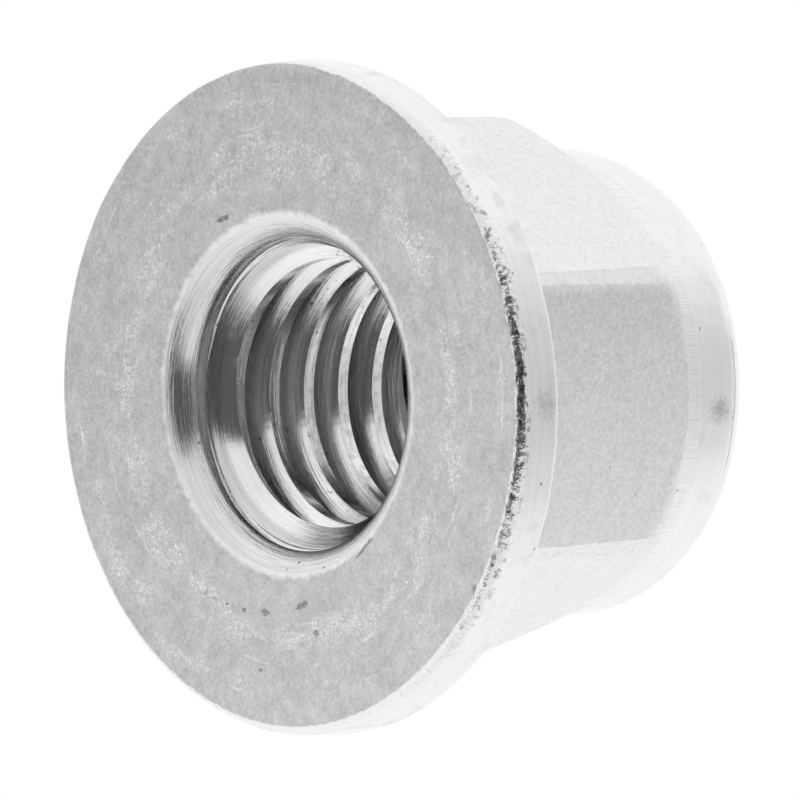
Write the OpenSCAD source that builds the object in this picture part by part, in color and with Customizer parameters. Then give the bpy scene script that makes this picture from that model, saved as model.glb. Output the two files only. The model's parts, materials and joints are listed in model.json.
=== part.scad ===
// Flanged hexagon lock nut with a nylon ring held in its collar.
// It stands on its bearing face at Z = 0, with the thread's axis on Z and the collar at the top.

/* [Thread] */
// Nominal diameter of the metric thread
thread_diameter = 10; // [7:0.5:11]
// Pitch of the thread
thread_pitch = 1.5; // [0.75:0.25:2]
// How much narrower than the thread the short lead-in bore is
lead_bite = 0.28; // [0.1:0.02:0.4]
// Radius of the rounded mouth between the bearing face and the lead-in bore
mouth_round = 1.05; // [0.4:0.05:1.3]
// Height of the lead-in bore above the rounded mouth
lead_height = 0.1; // [0.05:0.05:1]
// Depth of the bore's chamfer at the floor of the insert's seat
upper_chamfer = 0.4; // [0.2:0.05:0.8]

/* [Hexagon] */
// Wrench size, from flat to opposite flat
across_flats = 15; // [14:0.25:17]
// How much is taken off each of the six upright edges, towards the axis
corner_trim = 0.09; // [0.02:0.01:0.4]
// Height at which the chamfer begins on the hexagon's corners
corner_height = 9.7; // [8:0.1:9.9]
// Slope of that chamfer, from level
chamfer_angle = 30; // [15:1:38]

/* [Flange] */
// Largest diameter of the flange
flange_diameter = 21; // [19.5:0.25:26]
// Radius of the edge between the bearing face and the rim
lower_edge = 0.3; // [0.1:0.05:0.6]
// Height of the rim, from the bearing face to its upper edge
rim_height = 1.5; // [1.1:0.1:2.4]
// Radius of the rim's upper edge
upper_edge = 0.2; // [0.1:0.05:0.4]
// Slope of the flange's upper side, from level
flange_slope = 25; // [10:1:35]

/* [Collar] */
// How much narrower than the wrench size the collar is
collar_inset = 0.1; // [0.05:0.05:0.6]
// Overall height of the nut
total_height = 13.3; // [12.9:0.1:15]
// Radius that the rolled rim turns in on
collar_round = 1.15; // [0.9:0.05:1.4]
// Thickness of the collar's wall round the insert
collar_wall = 1.05; // [0.8:0.05:1.3]
// Thickness of the rolled lip over the insert
lip_thickness = 0.8; // [0.5:0.05:1]
// How far the lip reaches in over the insert
lip_reach = 0.9; // [0.5:0.05:1.1]

/* [Insert] */
// Height of the nylon ring
insert_height = 2.6; // [1.8:0.1:3.2]
// How much narrower than the thread the ring's bore is
insert_bite = 1; // [0.6:0.1:1.4]
// Radius of the ring's outer upper edge, under the lip
insert_shoulder = 0.5; // [0.2:0.05:0.7]
// Radius of the ring's inner edges
insert_edge = 0.3; // [0.1:0.05:0.5]

/* [Hidden] */
$fn = 96;

// Share of the pitch by which a metric thread's minor diameter is smaller than its nominal diameter
minor_share = 1.0825;
// Overrun of a cut past the face that it opens in
overrun = 1;

minor_radius = (thread_diameter - minor_share * thread_pitch) / 2;
lead_radius = (thread_diameter - lead_bite) / 2;
upper_radius = minor_radius + upper_chamfer;
lead_top = mouth_round + lead_height;
mouth_radius = lead_radius + mouth_round;

flat_distance = across_flats / 2;
corner_distance = flat_distance / cos(30);
trimmed_distance = corner_distance - corner_trim;
chamfer_rise = tan(chamfer_angle);

flange_radius = flange_diameter / 2;
bearing_radius = flange_radius - lower_edge;
// Where the sloping upper side leaves the rounding of the rim
slope_start = [
    flange_radius - upper_edge + upper_edge * sin(flange_slope),
    rim_height - upper_edge + upper_edge * cos(flange_slope)
];

collar_radius = flat_distance - collar_inset / 2;
lip_underside = total_height - lip_thickness;
seat_floor = lip_underside - insert_height;
insert_radius = collar_radius - collar_wall;
insert_bore = (thread_diameter - insert_bite) / 2;
lip_nose = lip_thickness / 2;
lip_radius = insert_radius - lip_reach;

// Half section of the flange: rounded rim below, sloping upper side
module flange_section() {
    rim_wall = rim_height - lower_edge - upper_edge;
    square([bearing_radius, rim_height - upper_edge]);
    translate([0, lower_edge])
        square([flange_radius, rim_wall]);
    translate([bearing_radius, lower_edge])
        circle(lower_edge);
    translate([flange_radius - upper_edge, rim_height - upper_edge])
        circle(upper_edge);
    polygon([
        [0, rim_height - upper_edge],
        [flange_radius - upper_edge, rim_height - upper_edge],
        slope_start,
        [0, slope_start.y + slope_start.x * tan(flange_slope)]
    ]);
}

// Half section that trims the hexagon: upright at the corners, then the chamfer's cone
module trim_section() {
    polygon([
        [0, 0],
        [trimmed_distance, 0],
        [trimmed_distance, corner_height],
        [0, corner_height + trimmed_distance * chamfer_rise]
    ]);
}

// The hexagon stands on the flange, with corners along X, and ends inside the collar
module hexagon() {
    intersection() {
        cylinder(h = lip_underside, r = corner_distance, $fn = 6);
        rotate_extrude()
            trim_section();
    }
}

// Half section of the collar, which rises out of the chamfer: wall and outside of the rolled rim
module collar_section() {
    round_height = total_height - collar_round;
    translate([0, corner_height])
        square([collar_radius, round_height - corner_height]);
    translate([collar_radius - collar_round, round_height])
        circle(collar_round);
    translate([0, round_height])
        square([collar_radius - collar_round, collar_round]);
}

// Half section of the bore: rounded mouth, lead-in, the thread's minor diameter and its chamfer
module thread_section() {
    difference() {
        polygon([
            [0, -overrun],
            [mouth_radius, -overrun],
            [mouth_radius, 0],
            [lead_radius, mouth_round],
            [lead_radius, lead_top],
            [minor_radius, lead_top + lead_radius - minor_radius],
            [minor_radius, seat_floor - upper_chamfer],
            [upper_radius, seat_floor],
            [upper_radius, seat_floor + overrun],
            [0, seat_floor + overrun]
        ]);
        translate([mouth_radius, mouth_round])
            circle(mouth_round);
    }
}

// Half section of the space that the insert fills, with its rounded shoulder
module seat_section() {
    square([insert_radius - insert_shoulder, insert_height]);
    square([insert_radius, insert_height - insert_shoulder]);
    translate([insert_radius - insert_shoulder, insert_height - insert_shoulder])
        circle(insert_shoulder);
}

// Half section of the opening inside the lip, whose edge is a full round
module opening_section() {
    difference() {
        translate([0, lip_underside - overrun])
            square([lip_radius + lip_nose, overrun + lip_thickness + overrun]);
        translate([lip_radius + lip_nose, lip_underside + lip_nose])
            circle(lip_nose);
    }
}

// Half section of the nylon ring, which fills the seat and is open along the thread's axis
module insert_section() {
    difference() {
        seat_section();
        square([insert_bore + insert_edge, insert_height]);
    }
    translate([insert_bore, insert_edge])
        square([2 * insert_edge, insert_height - 2 * insert_edge]);
    for (height = [insert_edge, insert_height - insert_edge])
        translate([insert_bore + insert_edge, height])
            circle(insert_edge);
}

// Steel nut: flange, hexagon and collar in one piece, with the lip rolled over the insert's seat
module nut_body() {
    color("silver")
        difference() {
            union() {
                rotate_extrude()
                    flange_section();
                hexagon();
                rotate_extrude()
                    collar_section();
            }
            rotate_extrude()
                thread_section();
            translate([0, 0, seat_floor])
                rotate_extrude()
                    seat_section();
            rotate_extrude()
                opening_section();
        }
}

// Locking ring of nylon
module nylon_insert() {
    color("ivory")
        translate([0, 0, seat_floor])
            rotate_extrude()
                insert_section();
}

nut_body();
nylon_insert();
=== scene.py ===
# %% [markdown]
# A flanged lock nut. One piece of zinc-plated steel carries a round flange, a wrench hexagon and a
# collar, and a ring of nylon sits in the collar under a rolled lip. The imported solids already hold
# the sizes, so this lesson adds what they leave out: soft edges, the cut thread and the finishes.

# %% Load the solids
import json
import math
import bmesh
import bpy
from mathutils import Matrix, Vector, noise


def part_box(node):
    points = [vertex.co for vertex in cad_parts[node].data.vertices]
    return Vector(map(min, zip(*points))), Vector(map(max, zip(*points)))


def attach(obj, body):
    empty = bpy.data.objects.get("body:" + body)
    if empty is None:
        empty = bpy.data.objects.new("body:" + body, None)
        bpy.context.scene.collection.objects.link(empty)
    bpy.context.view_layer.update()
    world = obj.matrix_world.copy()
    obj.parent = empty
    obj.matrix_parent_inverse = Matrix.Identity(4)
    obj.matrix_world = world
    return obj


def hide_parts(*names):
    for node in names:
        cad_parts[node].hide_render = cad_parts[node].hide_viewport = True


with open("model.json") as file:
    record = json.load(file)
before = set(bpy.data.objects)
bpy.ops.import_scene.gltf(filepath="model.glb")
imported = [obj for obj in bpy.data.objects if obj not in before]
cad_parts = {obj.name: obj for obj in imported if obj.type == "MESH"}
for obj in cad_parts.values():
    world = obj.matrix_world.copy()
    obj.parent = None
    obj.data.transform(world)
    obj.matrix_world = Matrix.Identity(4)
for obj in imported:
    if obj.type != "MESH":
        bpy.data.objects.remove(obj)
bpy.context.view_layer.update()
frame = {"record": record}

# %% [markdown]
# The frame is the only drawing here, so every size that the solids can tell is read from them: the
# outer sizes from their boxes and the two bores from the record's mounts. Blender works in metres,
# but a nut is easier to think of in millimetres, so meshes are drawn in millimetres and scaled last.

# %% Sizes that the solids give, in millimetres
mm = 0.001
body_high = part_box("nut_body")[1]
ring_low, ring_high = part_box("nylon_insert")
flange_radius = body_high.x / mm
total_height = body_high.z / mm
seat_floor = ring_low.z / mm
lip_underside = ring_high.z / mm
seat_radius = ring_high.x / mm
bores = {mount["name"]: mount["dims"] for mount in frame["record"]["mounts"]}
minor_radius = bores["thread"]["r_mm"]
ring_bore = bores["locking_bore"]["r_mm"]
print(f"flange {2 * flange_radius:.2f} mm, height {total_height:.2f} mm, bore {2 * minor_radius:.2f} mm")

# %% [markdown]
# The picture looks at the bearing face from below, with the nut's axis going away to the right. A
# camera could be placed by eye, but here the angles were measured: how far the axis leans from the
# line of sight, how it rolls in the picture, and how far the near flat is turned. Three vectors then
# give the nut's own axes as the camera sees them, and their inverse gives the camera's place.

# %% Camera
picture_size = 800
sensor_width = 36
view_tilt = math.radians(46.07)
view_roll = math.radians(-3.08)
flat_turn = math.radians(8.2)
view_distance = 248
pixels_per_mm = 32.236
face_centre_pixel = Vector((285, 395))

# Right, down and forward are the camera's own directions in these three vectors
axis_seen = Vector((
    math.sin(view_tilt) * math.cos(view_roll),
    math.sin(view_tilt) * math.sin(view_roll),
    math.cos(view_tilt),
))
near_seen = Vector((
    math.cos(view_tilt) * math.cos(view_roll),
    math.cos(view_tilt) * math.sin(view_roll),
    -math.sin(view_tilt),
))
side_seen = axis_seen.cross(near_seen)
nut_x = side_seen * math.cos(flat_turn) - near_seen * math.sin(flat_turn)
nut_y = -(near_seen * math.cos(flat_turn) + side_seen * math.sin(flat_turn))
seen_to_nut = Matrix((nut_x, nut_y, axis_seen))

offset = (face_centre_pixel - Vector((picture_size / 2, picture_size / 2))) / pixels_per_mm
face_centre_seen = Vector((offset.x, offset.y, view_distance))
camera_place = -(seen_to_nut @ face_centre_seen)
camera_turn = seen_to_nut @ Matrix.Diagonal((1, -1, -1))

camera_data = bpy.data.cameras.new("camera")
camera_data.sensor_width = sensor_width
camera_data.lens = pixels_per_mm * view_distance * sensor_width / picture_size
camera_data.clip_start = 0.01
camera = bpy.data.objects.new("camera", camera_data)
camera.matrix_world = Matrix.Translation(camera_place * mm) @ camera_turn.to_4x4()
bpy.context.scene.collection.objects.link(camera)
bpy.context.scene.camera = camera
bpy.context.scene.view_settings.view_transform = "Standard"
print(f"camera at {tuple(round(v, 1) for v in camera_place)} mm, lens {camera_data.lens:.1f} mm")

# %% [markdown]
# Turned and forged edges are never sharp. A Bevel modifier could round them, but it would treat all
# edges alike, so each corner of the nut's section carries its own rounding. The helper below walks
# round a closed outline, swaps each corner for an arc, and adds a point just outside each arc so
# that smooth shading stays on the arc and the flat faces stay flat.

# %% Rounded outline
shoulder = 0.03


def rounded(corners):
    """Points of a closed outline, from corners of (radius, height, rounding, steps)."""
    points = []
    for i, (r, z, rounding, steps) in enumerate(corners):
        corner = Vector((r, z))
        if not steps:
            points.append(corner)
            continue
        before = Vector(corners[i - 1][:2]) - corner
        after = Vector(corners[(i + 1) % len(corners)][:2]) - corner
        half = before.angle(after) / 2
        reach = rounding / math.tan(half)
        spare = min(shoulder, (before.length - reach) / 4, (after.length - reach) / 4)
        before.normalize()
        after.normalize()
        centre = corner + (before + after).normalized() * reach / math.cos(half)
        spoke = corner + before * reach - centre
        turn = before.angle_signed(after) - math.copysign(math.pi, before.angle_signed(after))
        points.append(corner + before * (reach + spare))
        for step in range(steps + 1):
            points.append(centre + Matrix.Rotation(-turn * step / steps, 2) @ spoke)
        points.append(corner + after * (reach + spare))
    return points


sample = rounded([(0, 0, 0.1, 4), (1, 0, 0, 0), (0, 1, 0, 0)])
print("a corner rounded in 4 steps takes", len(sample) - 2, "points")

# %% [markdown]
# The section of the nut changes on its way round: on a corner of the hexagon the wrench part is
# wider than in the middle of a flat, and the chamfer on its top starts lower. So the outline is a
# function of the hexagon's radius at that angle. Everything else on it is the same all the way round.

# %% Section of the nut
thread_pitch = 1.5
lead_radius = 4.86
lead_edge = 0.5
lead_bottom = 0.72
lead_top = 1.15
mouth_corner = 5.33
mouth_round = 1.07
mouth_edge = 5.6
upper_chamfer = 0.4
lower_edge = 0.32
rim_draft = 0.06
upper_edge = 0.2
rim_top = 1.45
flange_rise = math.tan(math.radians(25))
flange_root = 0.3
corner_distance = 8.57
corner_height = 9.7
chamfer_rise = math.tan(math.radians(30))
corner_softness = 1.75
foot_bottom = 10.36
foot_top = 10.93
collar_radius = 7.45
collar_round = 1.15
lip_reach = 0.9
lip_radius = seat_radius - lip_reach
lip_nose = 0.4
seat_shoulder = 0.5
hexagon_rings = 14


def section(hexagon_radius):
    """Outline of the nut before it is tapped, from the bore out, where the hexagon has this radius."""
    root = rim_top + (flange_radius - hexagon_radius) * flange_rise
    chamfer = corner_height + (corner_distance - hexagon_radius) * chamfer_rise
    waist = corner_height + (corner_distance - collar_radius) * chamfer_rise
    corner_round = corner_softness * (hexagon_radius - collar_radius)
    straight = chamfer - corner_round * chamfer_rise - 2 * shoulder - root
    rings = [root + straight * (i + 1) / (hexagon_rings + 1) for i in range(hexagon_rings)]
    return rounded([
        (minor_radius, lead_top + lead_radius - minor_radius, 0, 0),
        (lead_radius, lead_top, 0, 0),
        (lead_radius, lead_bottom, lead_edge, 8),
        (mouth_corner, 0, mouth_round, 14),
        (flange_radius - rim_draft, 0, lower_edge, 10),
        (flange_radius + rim_draft / 2, rim_top, upper_edge, 6),
        (hexagon_radius, root, flange_root, 6),
        *[(hexagon_radius, ring, 0, 0) for ring in rings],
        (hexagon_radius, chamfer, corner_round, 6),
        (collar_radius, waist, 0, 0),
        (collar_radius, total_height, collar_round, 16),
        (lip_radius, total_height, lip_nose, 7),
        (lip_radius, lip_underside, lip_nose, 7),
        (seat_radius, lip_underside, seat_shoulder, 5),
        (seat_radius, seat_floor, 0, 0),
        (minor_radius + upper_chamfer, seat_floor, 0, 0),
        (minor_radius, seat_floor - upper_chamfer, 0, 0),
    ])


print("points on the section:", len(section(flange_radius * 0.75)), len(section(corner_distance)))

# %% [markdown]
# The upright edges of a forged hexagon don't fill the corners of the die, and less so towards the top:
# each is a narrow facet that widens upwards and wanders a little. So the hexagon's radius depends on
# the height as well as on the angle, and the facet's edges set the angles of the columns beside them.

# %% Hexagon with blunt edges
across_flats = 15
sixth = math.pi / 3
flat_distance = across_flats / 2
sharp_corner = flat_distance / math.cos(sixth / 2)
facet_below = (0.2, 0.34, 0.34)
facet_above = (0.3, 0.62, 0.62)
facet_wander = 0.05
usual_facet = 0.45


def off_corner(angle):
    """Angle from the nearest corner of the hexagon; corners lie on the X axis and every 60 degrees."""
    return (angle + sixth / 2) % sixth - sixth / 2


def facet_distance(width):
    """Distance from the axis to a facet of this width on a corner."""
    return sharp_corner - width / 2 / math.tan(sixth)


def facet_reach(width):
    """Half of the angle that a facet of this width takes up."""
    return math.atan2(width / 2, facet_distance(width))


def hexagon_at(off, width):
    """Radius of the hexagon at an angle from its corner, for facets of this width."""
    on_flat = flat_distance / math.cos(sixth / 2 - abs(off))
    return min(on_flat, facet_distance(width) / math.cos(off))


def facet_at(angle, z):
    """Width of the facet nearest to this angle, at a height."""
    corner = round(angle / sixth)
    below = facet_below[corner % 3]
    above = facet_above[corner % 3]
    wander = noise.noise(Vector((z * 0.9, corner * 7.3, 0))) * facet_wander
    share = min(1, max(0, z / corner_height))
    return below + (above - below) * share + wander


print(f"hexagon: {hexagon_at(sixth / 2, usual_facet):.3f} to {hexagon_at(0, usual_facet):.3f} mm")

# %% [markdown]
# The blank is the section turned round the axis. Spin is the tool for that, and it runs in twelve
# short turns: finely over each upright edge and more coarsely over each flat. A number on every
# vertex remembers its place on the section, so that each ring can then be drawn in to the outline
# for its own angle. A slow noise on the outside keeps the forging from looking machined.

# %% Spin the blank
facet_steps = 2
flat_steps = 28
weld = 1e-4
unevenness = 0.018
uneven_from = 7.2
off_centre = Vector((math.cos(flat_turn), -math.sin(flat_turn), 0)) * 0.045
flange_off_centre = off_centre * 1.7
flange_from = 8.9
near_side = Vector((-math.sin(flat_turn), -math.cos(flat_turn), 0))
face_off_centre = near_side * -0.06
usual_reach = facet_reach(usual_facet)

blank = bmesh.new()
place = blank.verts.layers.int.new("place")
outline = [blank.verts.new((p.x, 0, p.y)) for p in section(corner_distance)]
for i, vertex in enumerate(outline):
    vertex[place] = i
bmesh.ops.rotate(blank, verts=outline, cent=(0, 0, 0), matrix=Matrix.Rotation(-usual_reach, 3, "Z"))
last_ring = outline + [blank.edges.new((outline[i - 1], outline[i])) for i in range(len(outline))]
for corner in range(6):
    for angle, steps in ((2 * usual_reach, facet_steps), (sixth - 2 * usual_reach, flat_steps)):
        spun = bmesh.ops.spin(
            blank, geom=last_ring, cent=(0, 0, 0), axis=(0, 0, 1), angle=angle, steps=steps
        )
        last_ring = spun["geom_last"]
bmesh.ops.remove_doubles(blank, verts=blank.verts, dist=weld)

sections = {}
for vertex in blank.verts:
    angle = math.atan2(vertex.co.y, vertex.co.x)
    off = off_corner(angle)
    usual_radius = round(hexagon_at(off, usual_facet), 6)
    if usual_radius not in sections:
        sections[usual_radius] = section(usual_radius)
    r, z = sections[usual_radius][vertex[place]]
    on_hexagon = collar_radius + weld < r < flange_from and z < foot_bottom - weld
    if on_hexagon:
        facet = facet_at(angle, z)
        reach = facet_reach(facet)
        if abs(off) < usual_reach + weld:
            new_off = off * reach / usual_reach
        else:
            beside = (abs(off) - usual_reach) / (sixth / 2 - usual_reach)
            new_off = math.copysign(reach + beside * (sixth / 2 - reach), off)
        r *= hexagon_at(new_off, facet) / usual_radius
        angle += new_off - off
    if r > uneven_from:
        where = Vector((r * math.cos(angle), r * math.sin(angle), z))
        r += unevenness * noise.noise(where * 0.7) + unevenness / 2 * noise.noise(where * 1.9)
    vertex.co = (r * math.cos(angle), r * math.sin(angle), z)
    if r > uneven_from:
        on_flange = min(1, max(0, r - flange_from))
        vertex.co += off_centre + flange_off_centre * on_flange
        vertex.co += face_off_centre * on_flange * max(0, 1 - z / rim_top)
bmesh.ops.recalc_face_normals(blank, faces=blank.faces)
print("blank:", len(blank.faces), "faces,", sum(not e.is_manifold for e in blank.edges), "open edges")


# %% [markdown]
# A helper turns a finished bmesh into an object. It is used for the blank, for the tap that cuts it
# and for the ring, and it leaves the object at the origin with its place in its mesh.

# %% From bmesh to object
def new_object(name, shape):
    """An object in the scene from a bmesh, which is freed."""
    mesh = bpy.data.meshes.new(name)
    shape.to_mesh(mesh)
    shape.free()
    made = bpy.data.objects.new(name, mesh)
    bpy.context.scene.collection.objects.link(made)
    return made


nut = new_object("zinc_nut", blank)
print("made", nut.name, "with", len(nut.data.polygons), "faces")

# %% [markdown]
# In the shop the thread is cut by a tap, and it is cut the same way here. The tooth of a metric tap
# has flanks that open at 60 degrees and a narrow flat at its tip. Just inside the bore it widens in a
# step that touches no steel, so the crests stay as the bore left them. Spun along the axis by one pitch
# a turn, the tooth becomes a helix, and a Boolean can take it out of the blank.

# %% Tap
thread_major = 5.03
tip_half_width = 0.055
flank_rise = math.tan(math.radians(30))
lip_inside = 0.004
lip_length = 0.1
tap_core = 3.9
steps_per_turn = 96
tap_turns = 7.5
# Height of the groove where it crosses the X axis
thread_start = 0.864 - thread_pitch

lip_r = minor_radius - lip_inside
lip_z = tip_half_width + (thread_major - lip_r) * flank_rise
upper_half = [
    (thread_major, tip_half_width, 0.06, 3),
    (lip_r, lip_z, 0, 0),
    (lip_r, lip_z + lip_length, 0, 0),
    (tap_core, lip_z + lip_length, 0, 0),
]
lower_half = [(r, -z, rounding, steps) for r, z, rounding, steps in reversed(upper_half)]

tap = bmesh.new()
tooth = [tap.verts.new((p.x, 0, p.y + thread_start)) for p in rounded(lower_half + upper_half)]
tooth_loop = tooth + [tap.edges.new((tooth[i - 1], tooth[i])) for i in range(len(tooth))]
bmesh.ops.spin(
    tap,
    geom=tooth_loop,
    cent=(0, 0, 0),
    axis=(0, 0, 1),
    dvec=(0, 0, thread_pitch / steps_per_turn),
    angle=2 * math.pi * tap_turns,
    steps=round(steps_per_turn * tap_turns),
)
bmesh.ops.holes_fill(tap, edges=[e for e in tap.edges if e.is_boundary], sides=0)
bmesh.ops.recalc_face_normals(tap, faces=tap.faces)
print("tap:", len(tap.faces), "faces,", sum(not e.is_manifold for e in tap.edges), "open edges")

# %% [markdown]
# The Boolean is applied at once and the tap is thrown away. It leaves points that lie on top of one
# another, so those are merged. Edges that turn by more than 25 degrees stay sharp; the rest is smooth.

# %% Cut the thread
smooth_below = math.radians(25)

tap_tool = new_object("tap", tap)
cut = nut.modifiers.new("thread", "BOOLEAN")
cut.operation = "DIFFERENCE"
cut.solver = "EXACT"
cut.object = tap_tool
cut_nut = nut.evaluated_get(bpy.context.evaluated_depsgraph_get())
threaded = bpy.data.meshes.new_from_object(cut_nut)
nut.modifiers.clear()
nut.data = threaded
bpy.data.objects.remove(tap_tool)

cleaned = bmesh.new()
cleaned.from_mesh(nut.data)
bmesh.ops.remove_doubles(cleaned, verts=cleaned.verts, dist=weld)
bmesh.ops.dissolve_degenerate(cleaned, edges=cleaned.edges, dist=weld)
bmesh.ops.scale(cleaned, verts=cleaned.verts, vec=(mm, mm, mm))
print("nut:", len(cleaned.faces), "faces,", sum(not e.is_manifold for e in cleaned.edges), "open edges")
cleaned.to_mesh(nut.data)
cleaned.free()
nut.data.shade_smooth()
nut.data.set_sharp_from_angle(angle=smooth_below)

# %% [markdown]
# The nylon ring is a plain turned section too. Its outside fills the seat. When the lip is rolled
# over it, the nylon swells a little inside the lip's opening, so its upper side is gently crowned
# there and rounded towards the bore.

# %% Nylon ring
ring_edge = 0.3
crown = 0.12
crown_radius = 5.15
ring_steps = 144

ring = bmesh.new()
ring_outline = rounded([
    (ring_bore, seat_floor, 2 * ring_edge, 6),
    (seat_radius, seat_floor, 0.05, 2),
    (seat_radius, lip_underside, seat_shoulder, 5),
    (lip_radius + lip_nose, lip_underside, 0.2, 3),
    (crown_radius, lip_underside + crown, 0.25, 4),
    (ring_bore, lip_underside - crown, ring_edge, 6),
])
ring_verts = [ring.verts.new((p.x, 0, p.y)) for p in ring_outline]
ring_loop = ring_verts + [ring.edges.new((ring_verts[i - 1], ring_verts[i])) for i in range(len(ring_verts))]
bmesh.ops.spin(
    ring,
    geom=ring_loop,
    cent=(0, 0, 0),
    axis=(0, 0, 1),
    angle=2 * math.pi,
    steps=ring_steps,
    use_merge=True,
)
bmesh.ops.remove_doubles(ring, verts=ring.verts, dist=weld)
bmesh.ops.recalc_face_normals(ring, faces=ring.faces)
bmesh.ops.scale(ring, verts=ring.verts, vec=(mm, mm, mm))
nylon = new_object("nylon_ring", ring)
nylon.data.shade_smooth()
nylon.data.set_sharp_from_angle(angle=smooth_below)
print("ring:", len(nylon.data.polygons), "faces")


# %% [markdown]
# The finishes are built from nodes. Wiring nodes by hand is slow to read, so one small class wraps
# an output socket: arithmetic on it adds Math nodes, and its one method adds any other node.

# %% Signals
class Signal:
    """An output socket of a node tree, which can be used in sums."""

    def __init__(self, tree, socket=None):
        self.tree = tree
        self.socket = socket

    def node(self, kind, settings=None, inputs=None, output=0):
        """A new node of this kind: settings first, then values or links, and the output to go on from."""
        made = self.tree.nodes.new(kind)
        for name, value in (settings or {}).items():
            setattr(made, name, value)
        for name, value in (inputs or {}).items():
            if isinstance(value, Signal):
                self.tree.links.new(value.socket, made.inputs[name])
            else:
                made.inputs[name].default_value = value
        return Signal(self.tree, made.outputs[output] if made.outputs else None)

    def maths(self, operation, *values):
        return self.node("ShaderNodeMath", {"operation": operation}, dict(enumerate(values)))

    def __add__(self, other):
        return self.maths("ADD", self, other)

    def __sub__(self, other):
        return self.maths("SUBTRACT", self, other)

    def __mul__(self, other):
        return self.maths("MULTIPLY", self, other)

    def __truediv__(self, other):
        return self.maths("DIVIDE", self, other)

    def __rsub__(self, other):
        return self.maths("SUBTRACT", other, self)

    def __rtruediv__(self, other):
        return self.maths("DIVIDE", other, self)

    def __pow__(self, other):
        return self.maths("POWER", self, other)

    def __abs__(self):
        return self.maths("ABSOLUTE", self)

    __radd__ = __add__
    __rmul__ = __mul__

    def larger(self, other):
        return self.maths("MAXIMUM", self, other)

    def fade(self, start, end):
        """0 at start and 1 at end, with a soft change between them; start may be the larger one."""
        settings = {"interpolation_type": "SMOOTHSTEP"}
        return self.node("ShaderNodeMapRange", settings, {0: self, 1: start, 2: end})


def new_material(name):
    """A material with an empty node tree, and a signal to start from."""
    made = bpy.data.materials.new(name)
    made.use_nodes = True
    made.node_tree.nodes.clear()
    return made, Signal(made.node_tree)


def dot(start, vector, direction):
    """How far a vector signal goes along a fixed direction."""
    settings = {"operation": "DOT_PRODUCT"}
    return start.node("ShaderNodeVectorMath", settings, {0: vector, 1: tuple(direction)}, "Value")


def stretched(start, x, y, z):
    """A vector signal from three signals or numbers."""
    return start.node("ShaderNodeCombineXYZ", None, {0: x, 1: y, 2: z})


def grain(start, where, scale, detail=3, roughness=0.55):
    """Noise from about 0 to 1, with this many grains to a unit."""
    inputs = {"Vector": where, "Scale": scale, "Detail": detail, "Roughness": roughness}
    return start.node("ShaderNodeTexNoise", None, inputs, "Fac")


def blend(start, factor, low, high):
    """A colour between two colours."""
    return start.node("ShaderNodeMix", {"data_type": "RGBA"}, {0: factor, 6: low, 7: high}, 2)


print("signal helpers ready")

# %% [markdown]
# Zinc plating takes the shape of the steel under it. The bearing face and the flats are dull, the rim,
# the collar and everything that a cutter touched is bright, and tool marks run round the axis. So the
# finish needs to know where on the nut it is. Object coordinates give that: the height, the distance
# from the axis and the direction from it are enough to tell all the surfaces apart.

# %% Where on the nut
zinc, start = new_material("zinc_plated_steel")
object_place = start.node("ShaderNodeTexCoord", None, None, "Object")
place_mm = start.node("ShaderNodeVectorMath", {"operation": "SCALE"}, {0: object_place, "Scale": 1 / mm})
place_xyz = start.node("ShaderNodeSeparateXYZ", None, {0: place_mm}).socket.node
x, y, z = (Signal(start.tree, socket) for socket in place_xyz.outputs)
r = (x * x + y * y) ** 0.5
ux = x / r
uy = y / r

soft = 0.05
nearness = ux * near_side.x + uy * near_side.y
peel = grain(start, place_mm, 3.4, 3, 0.5)
soft_edge = (peel - 0.5) * 0.25
face_end = flange_radius - rim_draft - lower_edge + 0.01 + nearness.fade(0.7, -0.3) * 0.23
bearing = z.fade(0.2, 0.14) * (r + soft_edge).fade(mouth_edge - 0.16, mouth_edge + 0.2)
bearing = bearing * (r - face_end + soft_edge * 0.5).fade(0.04, -0.04)
outside = r.fade(seat_radius + 0.5, seat_radius + 0.6)
flats = outside * z.fade(2.6, 2.95) * z.fade(foot_bottom, foot_bottom - 0.04)
slope = outside * z.fade(rim_top, rim_top + soft) * z.fade(2.95, 2.6)
lower_rim = r.fade(flange_radius - lower_edge - 0.12, flange_radius - lower_edge + 0.05) * z.fade(0.45, 0.22)
rim = r.fade(flange_radius - 0.6, flange_radius - 0.3) * z.fade(0.2, 0.4)
foot = outside * z.fade(foot_bottom - 0.03, foot_bottom) * z.fade(foot_top + 0.02, foot_top)
collar = z.fade(foot_top, foot_top + soft) * r.fade(5.2, 5.5)
bore = r.fade(mouth_edge + 0.05, mouth_edge - 0.1) * z.fade(seat_floor + 0.1, seat_floor)
thread = bore * z.fade(lead_top, lead_top + 0.2)
mouth = bore - thread
# The near flat, which the shade below paints darker: painted shade.
near_flat_painted_shade = uy.fade(-0.87, -0.905)
dull = bearing.larger(flats).larger(slope)
print("zinc: masks for face, flats, slope, edge, rim, foot, collar, thread and mouth")

# %% [markdown]
# Marks from turning and tapping run round the axis. Noise that changes fast across the tool's path and
# slowly along it looks like them. In the bore the path is the helix itself, so the height is taken
# from the helix: the angle is measured from the near side, where the jump of a whole turn is hidden.

# %% Tool marks
turned_x = x * near_side.x + y * near_side.y
turned_y = y * near_side.x - x * near_side.y
turns = start.maths("ARCTAN2", turned_y * -1, turned_x * -1) / (2 * math.pi)
helix_z = z - turns * thread_pitch * bore
across_path = r - helix_z * 0.7
path = stretched(start, ux * 1.6, uy * 1.6, across_path * 9)
tool_marks = grain(start, path, 1.0, 4, 0.65)
fine_path = stretched(start, ux * 2.5, uy * 2.5, across_path * 15)
fine_marks = grain(start, fine_path, 1.0, 3, 0.6)
rib_path = stretched(start, ux * 130, uy * 130, z * 0.5)
ribs = grain(start, rib_path, 1.0, 2, 0.5)
print("zinc: tool marks")

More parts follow.
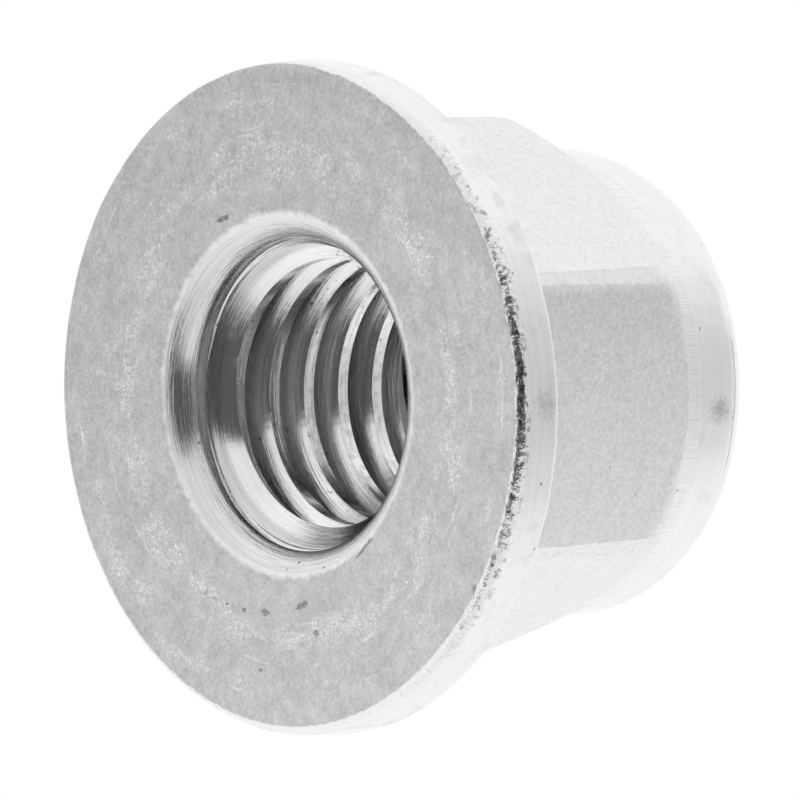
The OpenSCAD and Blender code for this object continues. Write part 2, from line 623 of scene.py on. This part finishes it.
# %% [markdown]
# The dull surfaces carry a fine even grain, broad pale clouds, and specks where the plating caught on
# something. On the bearing face the specks lie in two broken rings, with thin pale arcs between them,
# as if other nuts had turned on it.

# %% Grain, clouds and specks
fine_grain = grain(start, place_mm, 7.5, 3, 0.6)
clouds = grain(start, place_mm, 0.55, 3, 0.55)
speck_grain = grain(start, place_mm, 6.5, 2, 0.7)
ring_drift = (grain(start, place_mm, 0.35, 2) - 0.5) * 1.6
ring_r = r + ring_drift
inner_ring = ring_r.fade(6.7, 7.2) * ring_r.fade(8.3, 7.7)
outer_ring = ring_r.fade(8.8, 9.2) * ring_r.fade(10.1, 9.6) * clouds.fade(0.42, 0.62)
flecks = abs(grain(start, place_mm, 6.5, 2, 0.5) - 0.5).fade(0.035, 0.005)
cluster_path = stretched(start, ux * 5, uy * 5, r * 1.6)
clusters = grain(start, cluster_path, 1.0, 4, 0.65).fade(0.40, 0.62)
specks = speck_grain.fade(0.58, 0.70) + flecks * 0.7
specks = specks * clusters * (inner_ring + outer_ring * 0.8 + 0.2)
arc_breaks = grain(start, stretched(start, ux * 5, uy * 5, r * 3), 1.0, 3, 0.6).fade(0.54, 0.64)
arc_sizes = ((8.18, 0.07), (8.42, 0.05), (9.62, 0.06))
wander = r + (clouds - 0.5) * 0.5
arcs = 0
for arc_radius, arc_width in arc_sizes:
    arcs = abs(wander - arc_radius).fade(arc_width, arc_width * 0.3) * arc_breaks + arcs
pale_marks = (specks + arcs * 0.3) * bearing
patches = grain(start, place_mm, 2.0, 3, 0.6)
worm_noise = grain(start, place_mm, 3.6, 2, 0.5)
worms = abs(worm_noise - 0.5).fade(0.11, 0.0)


def small_pits(per_mm, edge, middle):
    """Ragged round pits, so many to a millimetre, that deepen from their edge to their middle."""
    inputs = {"Vector": place_mm, "Scale": per_mm}
    away = start.node("ShaderNodeTexVoronoi", {"feature": "F1"}, inputs, "Distance")
    return (away + (fine_grain - 0.5) * 0.1).fade(edge, middle)


pits = small_pits(1.3, 0.085, 0.05) * clouds.fade(0.48, 0.56)
thread_pits = small_pits(2.4, 0.16, 0.1) * clouds.fade(0.47, 0.55) * thread
print("zinc: grain, specks, arcs and pits")

# %% [markdown]
# A few dark scuffs sit at known places on the bearing face. Each was read as a pixel of the picture, so
# a line from the camera through that pixel is followed until it meets the face at height zero.

# %% Scuffs
scuffs_seen = [
    ((223, 219), 11, 3.2, -25),
    ((205, 593), 2.5, 2, 0),
    ((214, 598), 2.5, 2, 0),
    ((227, 604), 3, 2, 0),
    ((244, 610), 4, 2.4, 0),
    ((265, 612), 7, 4.5, 10),
    ((302, 605), 11, 4, -25),
    ((316, 633), 5, 4, 20),
    ((261, 670), 3, 2, 0),
    ((364, 548), 18, 2.2, -52),
    ((475, 590), 6, 4, 90),
    ((473, 603), 3, 3, 0),
]


def on_bearing_face(pixel):
    """The point of the bearing face, in millimetres, that a pixel of the picture shows."""
    across = (Vector(pixel) - Vector((picture_size / 2, picture_size / 2))) / pixels_per_mm
    ray = seen_to_nut @ Vector((across.x, across.y, view_distance))
    return camera_place - ray * (camera_place.z / ray.z)


scuffs = 0
for pixel, length, width, lean in scuffs_seen:
    middle = on_bearing_face(pixel)
    lean = math.radians(lean)
    along = on_bearing_face(Vector(pixel) + Vector((math.cos(lean), math.sin(lean)))) - middle
    side = Vector((-along.y, along.x, 0)).normalized()
    along.normalize()
    half_length = length / pixels_per_mm
    half_width = width / pixels_per_mm
    along_by = (dot(start, place_mm, along) - along.dot(middle)) / half_length
    side_by = (dot(start, place_mm, side) - side.dot(middle)) / half_width
    apart = along_by * along_by + side_by * side_by + (fine_grain - 0.5) * 2
    scuffs = apart.fade(1.2, 0.2) + scuffs
scuffs = scuffs * bearing
print("zinc:", len(scuffs_seen), "scuffs")

# %% [markdown]
# Now the pieces come together. First comes the shade, which says how much light the plating gives back.
# The face and the flats have one each, with painted light across the face and painted shade and light on
# the near flat. The bright parts share one, with painted shade in the roots of the grooves and on the last
# turn of the thread, marked crests and streaks in the mouth.

# %% Zinc shade
face_tone = 0.63
flat_tone = 0.98
bright_tone = 0.98
# Height above which the thread is painted nearly black as shade.
painted_shade_from = 9.2
picture_down = seen_to_nut @ Vector((0, 1, 0))
picture_corner = seen_to_nut @ Vector((1, 1, 0))

# Painted light: the face grows a little lighter towards the picture's lower right.
painted_light_slope = dot(start, place_mm, picture_corner) * 0.0045
face_shade = face_tone + (fine_grain - 0.5) * 0.42 + (patches - 0.5) * 0.3 + (clouds - 0.5) * 0.2
face_shade = face_shade + painted_light_slope + pale_marks * 0.42 - scuffs * 0.32
flat_shade = flat_tone + (fine_grain - 0.5) * 0.4 + (patches - 0.5) * 0.15 - pits * 0.2
flat_shade = flat_shade + (worms - 0.4) * 0.03
# Painted shade and light: the near flat is darker overall and lighter towards the picture's bottom.
flat_shade = flat_shade + (dot(start, place_mm, picture_down) * 0.025 - 0.12) * near_flat_painted_shade
dull_shade = flat_shade + (face_shade - flat_shade) * bearing

stains = grain(start, place_mm, 1.2, 4, 0.65).fade(0.5, 0.68)
# Painted shade: the thread is darker in the roots of its grooves.
groove_painted_shade = thread * r.fade(4.5, 4.7)
crest = thread * r.fade(minor_radius + 0.08, minor_radius + 0.02)
crest_marks = peel.fade(0.45, 0.6) * 0.14 + fine_marks.fade(0.48, 0.62) * 0.2
mouth_streaks = tool_marks.fade(0.4, 0.65) * 0.18 + (fine_marks - 0.5) * 0.55
bright_shade = bright_tone + (tool_marks - 0.5) * 0.2 + (fine_marks - 0.5) * bore * 0.5 - pits * 0.5
bright_shade = bright_shade - stains * (rim * 0.1 + collar * 0.05) - (ribs - 0.5) * foot * 0.5
bright_shade = bright_shade - groove_painted_shade * 0.28 - thread_pits * 0.4
bright_shade = bright_shade - crest * (crest_marks * z.fade(2, 5) + 0.03)
bright_shade = bright_shade - mouth * (mouth_streaks + 0.07)
# Painted shade: beyond this height the last turn of the thread is nearly black.
bright_shade = bright_shade - thread * z.fade(painted_shade_from - 0.01, painted_shade_from + 0.02) * 0.85
shade = bright_shade + (dull_shade - bright_shade) * dull
print("zinc: shade")

# %% [markdown]
# Handling has left two smudges on the bright parts. The collar's shoulder has a thin dark line on the near
# side, and the flange's lower edge on the near side has ragged dark patches: partly dirt, partly painted
# reflection. The helper makes one ragged spot round a point.

# %% Smudges, collar line and edge dirt with painted reflection
collar_smudge_angle = math.radians(-89)
collar_smudge_height = 11.75
collar_line_height = 12.45
rim_smudge_drop = 0.75
rim_smudge_height = 0.95
smudge_reach = 0.6


def smudge_round(middle):
    """A soft ragged spot round a point of the nut, in millimetres."""
    ends = {0: place_mm, 1: tuple(middle)}
    away = start.node("ShaderNodeVectorMath", {"operation": "DISTANCE"}, ends, "Value")
    return (away + (fine_grain - 0.5) * 1.2).fade(smudge_reach, 0.0)


collar_side = Vector((math.cos(collar_smudge_angle), math.sin(collar_smudge_angle), 0)) * collar_radius
collar_smudge = smudge_round(collar_side + Vector((0, 0, collar_smudge_height))) * collar
# A thin dark line round the collar's shoulder, on the near side only.
collar_line_wander = (clouds - 0.5) * 0.2
collar_dark_line = abs(z - collar_line_height + collar_line_wander).fade(0.06, 0.015) * uy.fade(-0.93, -0.98) * collar
rim_side = near_side * (flange_radius - 0.03) + off_centre.normalized() * rim_smudge_drop
rim_smudge = smudge_round(rim_side + Vector((0, 0, rim_smudge_height)))
shade = shade - collar_smudge * 0.35 - collar_dark_line * 0.35 - rim_smudge * 0.25

# Partly dirt, partly a painted dark reflection: ragged dark patches in the flange's lower edge, near side.
edge_dirt_and_painted_reflection = lower_rim * grain(start, place_mm, 4.5, 4, 0.7).fade(0.5, 0.62)
shade = shade - edge_dirt_and_painted_reflection * nearness.fade(0.55, 0.97) * 0.72
shade = start.maths("MINIMUM", shade, 1.0)
# Here the rolled line is the collar's thin dark line, and the edge dirt is partly painted reflection.
print("zinc: smudges, rolled line and edge dirt")

# %% [markdown]
# Roughness says how far the light spreads, and one height field in millimetres holds everything that can
# be felt with a fingernail. Both go into the shader with the shade.

# %% Zinc roughness, relief and shader
bright_zinc = (0.90, 0.90, 0.897, 1)
black_zinc = (0.012, 0.012, 0.012, 1)
dull_roughness = 0.48
bright_roughness = 0.2

dull_rough = dull_roughness + (peel - 0.5) * 0.2 - pale_marks * 0.15
bright_rough = bright_roughness + (tool_marks - 0.5) * 0.2 - thread * 0.07 + foot * 0.1
bright_rough = bright_rough + stains * (rim + collar) * 0.15
thread_end = thread * z.fade(painted_shade_from - 0.2, painted_shade_from - 0.15) * r.fade(4.42, 4.36)
bright_rough = bright_rough + thread_end * 0.5
rough = bright_rough + (dull_rough - bright_rough) * dull

edge_path = stretched(start, ux * 13, uy * 13, (z - r) * 7)
edge_marks = grain(start, edge_path, 1.0, 4, 0.65)
height = (peel - 0.5) * (flats + slope) * 0.024 + worms * flats * 0.006
height = height + (fine_grain - 0.5) * dull * 0.004
height = height + (tool_marks - 0.5) * bore * 0.008
height = height + (fine_marks - 0.5) * (bore * 0.0025 + collar * 0.0006 + mouth * 0.016)
height = height + (ribs - 0.5) * foot * 0.012
height = height + (edge_marks - 0.5) * lower_rim * 0.05
height = height + (peel - 0.5) * (lower_rim * 0.05 + (rim + collar) * 0.008)

bump = start.node("ShaderNodeBump", None, {"Strength": 1.0, "Distance": mm, "Height": height})
zinc_shader = start.node("ShaderNodeBsdfPrincipled", None, {
    "Base Color": blend(start, shade, black_zinc, bright_zinc),
    "Metallic": 1.0,
    "Roughness": rough,
    "Normal": bump,
})
start.node("ShaderNodeOutputMaterial", None, {"Surface": zinc_shader})
nut.data.materials.clear()
nut.data.materials.append(zinc)
print("zinc:", len(zinc.node_tree.nodes), "nodes")

# %% [markdown]
# Natural nylon is a milky plastic: light goes a little way in before it comes back, so it has some
# subsurface scattering, faint clouds and the fine marks of the mould. Below the lip the ring is
# painted nearly black, as painted shade inside the nut.

# %% Nylon finish
warm_nylon = (0.80, 0.79, 0.72, 1)
pale_nylon = (0.88, 0.87, 0.82, 1)
# Nearly black: painted shade for the ring inside the nut.
painted_shade_nylon = (0.09, 0.088, 0.08, 1)

milky, start = new_material("natural_nylon")
nylon_place = start.node("ShaderNodeTexCoord", None, None, "Object")
nylon_mm = start.node("ShaderNodeVectorMath", {"operation": "SCALE"}, {0: nylon_place, "Scale": 1 / mm})
milk_clouds = grain(start, nylon_mm, 0.9, 3)
milk_grain = grain(start, nylon_mm, 8, 3)
nylon_z = start.node("ShaderNodeSeparateXYZ", None, {0: nylon_mm}, "Z")
# Painted shade: the ring is nearly black below its lip, inside the nut.
nylon_painted_shade = nylon_z.fade(lip_underside - 0.3, lip_underside - 0.8) * 0.95
nylon_colour = blend(start, milk_clouds.fade(0.3, 0.7), warm_nylon, pale_nylon)
nylon_bump = start.node("ShaderNodeBump", None, {
    "Strength": 1.0,
    "Distance": mm,
    "Height": (milk_grain - 0.5) * 0.006 + (milk_clouds - 0.5) * 0.02,
})
nylon_shader = start.node("ShaderNodeBsdfPrincipled", None, {
    "Base Color": blend(start, nylon_painted_shade, nylon_colour, painted_shade_nylon),
    "Roughness": 0.42 + (milk_grain - 0.5) * 0.2,
    "IOR": 1.53,
    "Subsurface Weight": 0.3,
    "Subsurface Radius": (1.0, 0.95, 0.8),
    "Subsurface Scale": 0.6 * mm,
    "Normal": nylon_bump,
})
start.node("ShaderNodeOutputMaterial", None, {"Surface": nylon_shader})
nylon.data.materials.append(milky)
print("nylon:", len(milky.node_tree.nodes), "nodes")

# %% [markdown]
# The studio is white all round, which gives the white background and a plain soft light. Metal in a
# white room shows nothing, so a photographer hangs a dark cloth round the lens, and the polished parts
# reflect it. Here the cloth is the inside of a large ball that lets light through everywhere but in
# front. Its edges are soft, and the camera itself doesn't see it. A grey panel hangs at the right.

# %% White room and dark cloth
world = bpy.data.worlds.new("white_room")
world.use_nodes = True
world.node_tree.nodes["Background"].inputs["Color"].default_value = (1, 1, 1, 1)
world.node_tree.nodes["Background"].inputs["Strength"].default_value = 1.0
bpy.context.scene.world = world

cloth_radius = 0.4
cloth_middle = (-8, 3)
cloth_half_width = 44
cloth_half_height = 23
cloth_lean = 0.48
lean_from = -12
cloth_light = 0.10
front_light = 0.75
back_light = 0.15
panel_middle = (84, 2)
panel_reach = 50
panel_depth = 0.31
degrees = 180 / math.pi

ball = bmesh.new()
bmesh.ops.create_icosphere(ball, subdivisions=4, radius=cloth_radius)
cloth = new_object("dark_cloth", ball)
cloth.data.shade_smooth()
cloth.visible_camera = False

dark_cloth, start = new_material("dark_cloth")
cloth_place = start.node("ShaderNodeTexCoord", None, None, "Object")
to_right, to_top, to_lens = camera_turn.transposed()
right_by = dot(start, cloth_place, to_right) / cloth_radius
up_by = dot(start, cloth_place, to_top) / cloth_radius
lens_by = dot(start, cloth_place, to_lens) / cloth_radius
round_by = start.maths("ARCTAN2", right_by, lens_by) * degrees
rise_by = start.maths("ARCSINE", up_by) * degrees
off_lens = start.maths("ARCCOSINE", lens_by) * degrees
along_cloth = (round_by - cloth_middle[0]) / cloth_half_width
hang = start.maths("MINIMUM", round_by - lean_from, 0) * cloth_lean
up_cloth = (rise_by - cloth_middle[1] - hang) / cloth_half_height
inside = (abs(along_cloth) ** 4 + abs(up_cloth) ** 4) ** 0.25
open_light = cloth_light + inside.fade(0.85, 1.2) * front_light + off_lens.fade(50, 95) * back_light
off_panel = ((round_by - panel_middle[0]) ** 2 + (rise_by - panel_middle[1]) ** 2) ** 0.5
light = open_light - off_panel.fade(panel_reach, 8) * panel_depth
light_colour = blend(start, light, (0, 0, 0, 1), (1, 1, 1, 1))
cloth_shader = start.node("ShaderNodeBsdfTransparent", None, {"Color": light_colour})
start.node("ShaderNodeOutputMaterial", None, {"Surface": cloth_shader})
cloth.data.materials.append(dark_cloth)
print("dark cloth:", cloth_half_width * 2, "by", cloth_half_height * 2, "degrees")

# %% [markdown]
# The floor is one pale sheet that fades into the white of the room. It has a front only: seen from
# below, where the picture's camera stands, it isn't there, so that the bearing face can be seen.

# %% Floor
floor_radius = 0.25
floor_gap = 0.02 * mm
fade_from = 0.06
fade_to = 0.24
sheet = bmesh.new()
bmesh.ops.create_circle(sheet, cap_ends=True, segments=128, radius=floor_radius)
bmesh.ops.translate(sheet, verts=sheet.verts, vec=(0, 0, -floor_gap))
bmesh.ops.recalc_face_normals(sheet, faces=sheet.faces)
floor = new_object("floor", sheet)
floor.visible_glossy = False
floor.visible_shadow = False

pale_sheet, start = new_material("pale_sheet")
floor_place = start.node("ShaderNodeTexCoord", None, None, "Object")
from_middle = start.node("ShaderNodeVectorMath", {"operation": "LENGTH"}, {0: floor_place}, "Value")
from_below = start.node("ShaderNodeNewGeometry", None, None, "Backfacing")
clear = from_below.larger(from_middle.fade(fade_from, fade_to))
sheet_shader = start.node("ShaderNodeBsdfDiffuse", None, {"Color": (0.86, 0.86, 0.86, 1)})
nothing = start.node("ShaderNodeBsdfTransparent")
floor_shader = start.node("ShaderNodeMixShader", None, {0: clear, 1: sheet_shader, 2: nothing})
start.node("ShaderNodeOutputMaterial", None, {"Surface": floor_shader})
floor.data.materials.append(pale_sheet)
print("floor normal:", tuple(floor.data.polygons[0].normal))

# %% [markdown]
# Last, each piece is attached to the body that it moves with, and the solid that it stands for is hidden.

# %% Hand over
for piece, node, slot in (
    (nut, "nut_body", "zinc_plated_steel"),
    (nylon, "nylon_insert", "natural_nylon"),
):
    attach(piece, "root")
    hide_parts(node)
